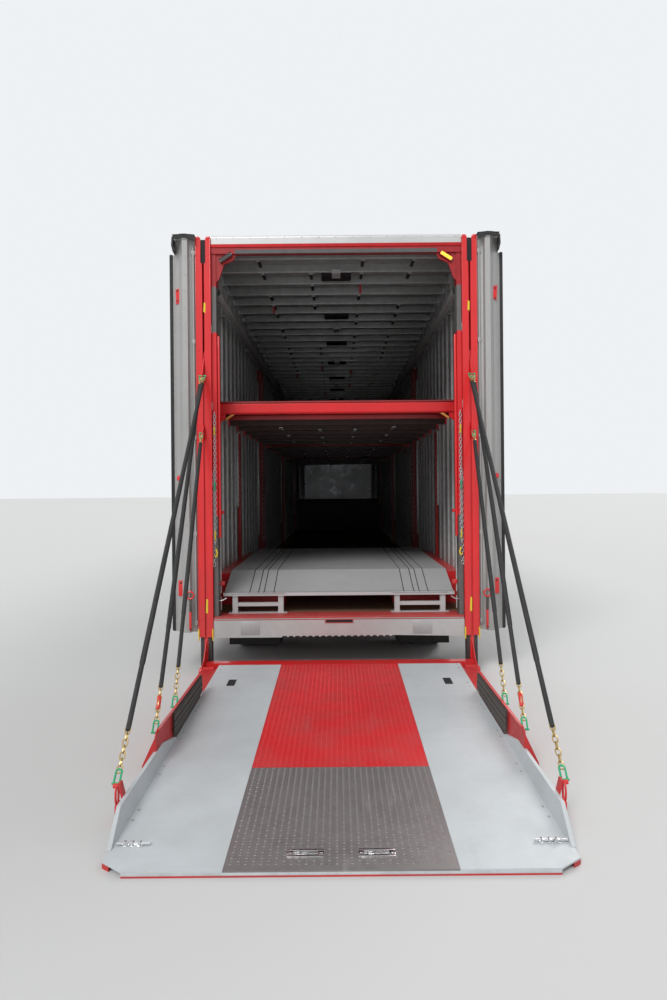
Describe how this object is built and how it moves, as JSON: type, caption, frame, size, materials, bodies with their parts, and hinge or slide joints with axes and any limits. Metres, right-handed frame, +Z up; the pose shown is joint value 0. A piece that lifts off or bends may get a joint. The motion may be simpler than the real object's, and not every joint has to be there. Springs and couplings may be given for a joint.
{
  "type": "car transporter truck",
  "caption": "Articulated enclosed car transporter: sleeper tractor, drop-frame box trailer, height-adjustable upper decks and a lift platform folded down behind.",
  "frame": {"origin": "on the ground, on the centreline, at the middle of the whole length", "axes": "+Y forward along the truck, +X to its right, +Z up"},
  "size_m": [3.1406, 25.576, 4.095],
  "materials": {
    "floor_wood": "worn boards",
    "steel_dark": "satin black paint",
    "aluminium_sheet": "smooth side sheet, ribbed inside",
    "aluminium_dull": "scuffed and dull",
    "polished_aluminium": "polished",
    "door_silver": "silver-grey, satin",
    "paint_red": "glossy red",
    "paint_white": "off-white, slightly worn",
    "tread_steel": "grey chequer plate",
    "rubber_black": "matte",
    "tyre": "matte tread rubber",
    "cast_iron": "painted casting",
    "chrome": "bright",
    "cab_trim": "grey trim",
    "glass": "tinted",
    "lamp_amber": "lens",
    "lamp_red": "lens",
    "lamp_clear": "lens",
    "marker_yellow": "bright yellow",
    "shackle_green": "green hooks",
    "chain_gold": "yellow-plated links"
  },
  "bodies": {
    "trailer": {"trailer_floor": "floor_wood", "trailer_chassis": "steel_dark", "coupler_plate": "steel_dark", "wall_left": "aluminium_sheet", "wall_right": "aluminium_sheet", "roof": "aluminium_sheet", "nose_panel": "aluminium_sheet", "rear_frame": "aluminium_dull", "rear_jambs": "paint_red", "lift_masts": "paint_red", "rear_door_left": "door_silver", "rear_door_right": "door_silver", "deck_posts": "paint_red", "wheel_boxes": "paint_red", "lower_deck": "aluminium_dull", "trailer_axles": "steel_dark", "landing_legs": "steel_dark", "trailer_mudflaps": "rubber_black"},
    "side_door_left": {"side_door_left": "aluminium_sheet"},
    "side_door_right": {"side_door_right": "aluminium_sheet"},
    "lift": {"lift_slides": "steel_dark", "lift_carriage": "paint_red", "platform_stays": "rubber_black"},
    "platform": {"platform_deck": "paint_white", "platform_tread_red": "paint_red", "platform_tread_steel": "tread_steel", "platform_frame": "paint_red", "platform_curbs": "paint_white", "platform_rubbers": "rubber_black"},
    "upper_deck_rear": {"upper_deck_rear": "paint_red"},
    "upper_deck_middle": {"upper_deck_middle": "paint_red"},
    "upper_deck_front": {"upper_deck_front": "paint_red"},
    "tractor": {"tractor_frame": "steel_dark", "fifth_wheel_plate": "steel_dark", "front_axle": "steel_dark", "drive_axles": "steel_dark", "engine_block": "cast_iron", "cab_shell": "paint_red", "cab_interior": "cab_trim", "bumper": "chrome", "tanks_and_steps": "polished_aluminium", "exhaust_stacks": "chrome", "tractor_mudflaps": "rubber_black"},
    "bonnet": {"bonnet": "paint_red", "grille": "chrome", "headlamps": "lamp_clear"},
    "cab_door_left": {"cab_door_left": "paint_red"},
    "cab_door_right": {"cab_door_right": "paint_red"},
    "knuckle_left": {"knuckle_left": "steel_dark"},
    "knuckle_right": {"knuckle_right": "steel_dark"},
    "trailer_wheel_rear_left": {"trailer_wheel_rear_left": "tyre"},
    "drive_wheel_rear_left": {"drive_wheel_rear_left": "tyre"},
    "trailer_wheel_rear_right": {"trailer_wheel_rear_right": "tyre"},
    "drive_wheel_rear_right": {"drive_wheel_rear_right": "tyre"},
    "trailer_wheel_front_left": {"trailer_wheel_front_left": "tyre"},
    "drive_wheel_front_left": {"drive_wheel_front_left": "tyre"},
    "trailer_wheel_front_right": {"trailer_wheel_front_right": "tyre"},
    "drive_wheel_front_right": {"drive_wheel_front_right": "tyre"},
    "front_wheel_left": {"front_wheel_left": "tyre"},
    "front_wheel_right": {"front_wheel_right": "tyre"}
  },
  "joints": [
    {"name": "lift_rise", "type": "slide", "parent": "trailer", "child": "lift", "axis": [0, 0, 1], "range_m": [0, 2.2]},
    {"name": "platform_fold", "type": "hinge", "parent": "lift", "child": "platform", "pos_m": [0, -9.698, 0.07], "axis": [-1, 0, 0], "range_deg": [0, 90], "deforming": ["platform_stays"]},
    {"name": "fifth_wheel", "type": "hinge", "parent": "trailer", "child": "tractor", "pos_m": [0, 5.738, 1.2], "axis": [0, 0, 1], "range_deg": [-75, 75]},
    {"name": "bonnet_tilt", "type": "hinge", "parent": "tractor", "child": "bonnet", "pos_m": [0, 12.728, 0.72], "axis": [-1, 0, 0], "range_deg": [0, 60]},
    {"name": "upper_deck_rear_rise", "type": "slide", "parent": "trailer", "child": "upper_deck_rear", "axis": [0, 0, 1], "range_m": [-0.6, 0.45]},
    {"name": "upper_deck_middle_rise", "type": "slide", "parent": "trailer", "child": "upper_deck_middle", "axis": [0, 0, 1], "range_m": [-0.6, 0.45]},
    {"name": "upper_deck_front_rise", "type": "slide", "parent": "trailer", "child": "upper_deck_front", "axis": [0, 0, 1], "range_m": [-0.6, 0.45]},
    {"name": "steer_left", "type": "hinge", "parent": "tractor", "child": "knuckle_left", "pos_m": [-0.9, 11.588, 0.52], "axis": [0, 0, 1], "range_deg": [-35, 35]},
    {"name": "front_wheel_left_spin", "type": "hinge", "parent": "knuckle_left", "child": "front_wheel_left", "pos_m": [-1.045, 11.588, 0.52], "axis": [1, 0, 0], "continuous": true},
    {"name": "cab_door_left_swing", "type": "hinge", "parent": "tractor", "child": "cab_door_left", "pos_m": [-1.132, 10.71, 1.5], "axis": [0, 0, -1], "range_deg": [0, 65]},
    {"name": "side_door_left_swing", "type": "hinge", "parent": "trailer", "child": "side_door_left", "pos_m": [-1.314, 0.754, 1.5], "axis": [0, 0, -1], "range_deg": [0, 110]},
    {"name": "trailer_wheel_rear_left_spin", "type": "hinge", "parent": "trailer", "child": "trailer_wheel_rear_left", "pos_m": [-0.87, -8.318, 0.4], "axis": [1, 0, 0], "continuous": true},
    {"name": "trailer_wheel_front_left_spin", "type": "hinge", "parent": "trailer", "child": "trailer_wheel_front_left", "pos_m": [-0.87, -7.068, 0.4], "axis": [1, 0, 0], "continuous": true},
    {"name": "drive_wheel_rear_left_spin", "type": "hinge", "parent": "tractor", "child": "drive_wheel_rear_left", "pos_m": [-0.925, 4.828, 0.52], "axis": [1, 0, 0], "continuous": true},
    {"name": "drive_wheel_front_left_spin", "type": "hinge", "parent": "tractor", "child": "drive_wheel_front_left", "pos_m": [-0.925, 6.148, 0.52], "axis": [1, 0, 0], "continuous": true},
    {"name": "steer_right", "type": "hinge", "parent": "tractor", "child": "knuckle_right", "pos_m": [0.9, 11.588, 0.52], "axis": [0, 0, 1], "range_deg": [-35, 35]},
    {"name": "front_wheel_right_spin", "type": "hinge", "parent": "knuckle_right", "child": "front_wheel_right", "pos_m": [1.045, 11.588, 0.52], "axis": [1, 0, 0], "continuous": true},
    {"name": "cab_door_right_swing", "type": "hinge", "parent": "tractor", "child": "cab_door_right", "pos_m": [1.132, 10.71, 1.5], "axis": [0, 0, 1], "range_deg": [0, 65]},
    {"name": "side_door_right_swing", "type": "hinge", "parent": "trailer", "child": "side_door_right", "pos_m": [1.314, 0.754, 1.5], "axis": [0, 0, 1], "range_deg": [0, 110]},
    {"name": "trailer_wheel_rear_right_spin", "type": "hinge", "parent": "trailer", "child": "trailer_wheel_rear_right", "pos_m": [0.87, -8.318, 0.4], "axis": [1, 0, 0], "continuous": true},
    {"name": "trailer_wheel_front_right_spin", "type": "hinge", "parent": "trailer", "child": "trailer_wheel_front_right", "pos_m": [0.87, -7.068, 0.4], "axis": [1, 0, 0], "continuous": true},
    {"name": "drive_wheel_rear_right_spin", "type": "hinge", "parent": "tractor", "child": "drive_wheel_rear_right", "pos_m": [0.925, 4.828, 0.52], "axis": [1, 0, 0], "continuous": true},
    {"name": "drive_wheel_front_right_spin", "type": "hinge", "parent": "tractor", "child": "drive_wheel_front_right", "pos_m": [0.925, 6.148, 0.52], "axis": [1, 0, 0], "continuous": true}
  ],
  "couplings": [
    {"joint": "steer_right", "follows": "steer_left", "ratio": 1}
  ]
}
